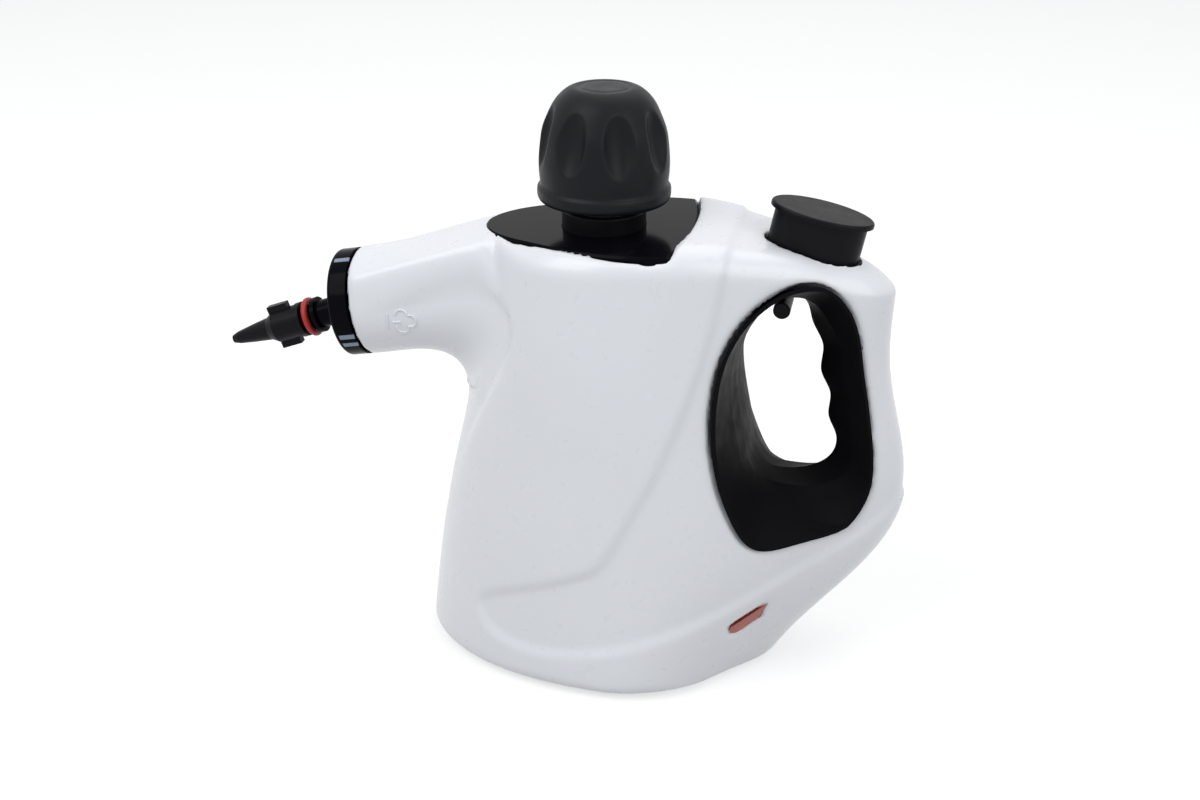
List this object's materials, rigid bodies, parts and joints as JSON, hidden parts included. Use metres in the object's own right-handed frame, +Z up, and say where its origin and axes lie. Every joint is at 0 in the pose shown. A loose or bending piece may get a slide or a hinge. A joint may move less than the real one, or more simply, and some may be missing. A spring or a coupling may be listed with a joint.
{
  "type": "steam cleaner",
  "caption": "Handheld pressure steam cleaner with a closed finger-loop handle, screw-down safety cap, push button and short jet nozzle.",
  "frame": {"origin": "point on the ground straight under the cap's axis", "axes": "+Z up along the cap axis, -X towards the nozzle, -Y towards the side with the lamp"},
  "size_m": [0.3194, 0.1351, 0.2649],
  "materials": {
    "white_shell": "satin-gloss white moulded plastic",
    "black_plastic": "satin black plastic",
    "gloss_black": "glossy black plastic",
    "mark": "light blue-grey inlay",
    "lens": "reddish-orange translucent lens",
    "lamp": "small neon lamp",
    "red_rubber": "red silicone rubber",
    "foot_rubber": "black rubber",
    "boiler_metal": "cast aluminium",
    "brass": "turned brass",
    "steel": "steel",
    "inner_plastic": "natural heat-resistant plastic",
    "white_base": "white moulded plastic"
  },
  "bodies": {
    "main_body": {"left_shell": "white_shell", "right_shell": "white_shell", "grip_liner_left": "black_plastic", "grip_liner_right": "black_plastic", "deck_plate": "gloss_black", "neck_ring": "black_plastic", "filler_neck": "boiler_metal", "nozzle_collar": "gloss_black", "collar_mark_1": "mark", "collar_mark_2": "mark", "collar_mark_3": "mark", "outlet_spigot": "gloss_black", "spigot_o_ring": "red_rubber", "pipe_nut": "brass", "steam_pipe": "inner_plastic", "lever_pin": "steel", "valve_bracket": "steel", "valve_body": "brass", "boiler_lower": "boiler_metal", "boiler_gasket": "red_rubber", "boiler_upper": "boiler_metal", "boiler_screw_1": "steel", "boiler_screw_2": "steel", "boiler_screw_3": "steel", "boiler_screw_4": "steel", "heating_element": "steel", "thermostat": "steel", "thermal_fuse": "inner_plastic", "terminal_block": "inner_plastic", "boiler_seat": "inner_plastic", "base_plate": "white_base", "base_screw_1": "steel", "base_screw_2": "steel", "base_screw_3": "steel", "base_screw_4": "steel", "rubber_foot_1": "foot_rubber", "rubber_foot_2": "foot_rubber", "rubber_foot_3": "foot_rubber", "rubber_foot_4": "foot_rubber", "shell_screw_1": "steel", "shell_screw_2": "steel", "shell_screw_3": "steel", "shell_screw_4": "steel", "shell_screw_5": "steel", "indicator_lens": "lens", "indicator_lamp": "lamp", "cord_gland": "black_plastic", "valve_spring": "steel"},
    "cap_seal": {"cap_gasket": "red_rubber"},
    "cap_core": {"cap_plug": "brass", "relief_valve": "steel", "cap_spring": "steel"},
    "cap_outer": {"cap_cover": "black_plastic"},
    "nozzle_tip": {"jet_nozzle": "black_plastic"},
    "button": {"steam_button": "black_plastic"},
    "trigger_lever": {"valve_lever": "inner_plastic"},
    "stem": {"valve_stem": "brass"},
    "lock": {"lock_slider": "black_plastic"}
  },
  "joints": [
    {"name": "cap_lift", "type": "slide", "parent": "main_body", "child": "cap_seal", "axis": [0, 0, 1], "range_m": [0, 0.012]},
    {"name": "cap_turn", "type": "hinge", "parent": "cap_seal", "child": "cap_core", "pos_m": [0, 0, 0.224], "axis": [0, 0, 1], "range_deg": [0, 1080]},
    {"name": "cap_press", "type": "slide", "parent": "cap_core", "child": "cap_outer", "axis": [0, 0, -1], "range_m": [0, 0.003], "stiffness_N_per_m": 3000, "springref_m": -0.001, "deforming": ["cap_spring"]},
    {"name": "nozzle_twist", "type": "hinge", "parent": "main_body", "child": "nozzle_tip", "pos_m": [-0.1214, 0, 0.15535], "axis": [-0.9397, 0, -0.342], "range_deg": [0, 45]},
    {"name": "button_press", "type": "slide", "parent": "main_body", "child": "button", "axis": [-0.1967, 0, -0.9805], "range_m": [0, 0.0028], "stiffness_N_per_m": 1800, "springref_m": -0.002},
    {"name": "lever_tilt", "type": "hinge", "parent": "main_body", "child": "trigger_lever", "pos_m": [0.024, 0, 0.189], "axis": [0, 1, 0], "range_deg": [0, 2.4]},
    {"name": "stem_push", "type": "slide", "parent": "main_body", "child": "stem", "axis": [0, 0, -1], "range_m": [0, 0.0011], "deforming": ["valve_spring"]},
    {"name": "lock_slide", "type": "slide", "parent": "main_body", "child": "lock", "axis": [0, 1, 0], "range_m": [-0.003, 0.003]}
  ],
  "couplings": [
    {"joint": "cap_turn", "follows": "cap_lift", "rad_per_m": 1570.8},
    {"joint": "lever_tilt", "follows": "button_press", "rad_per_m": 14.7},
    {"joint": "stem_push", "follows": "button_press", "ratio": 0.38}
  ]
}
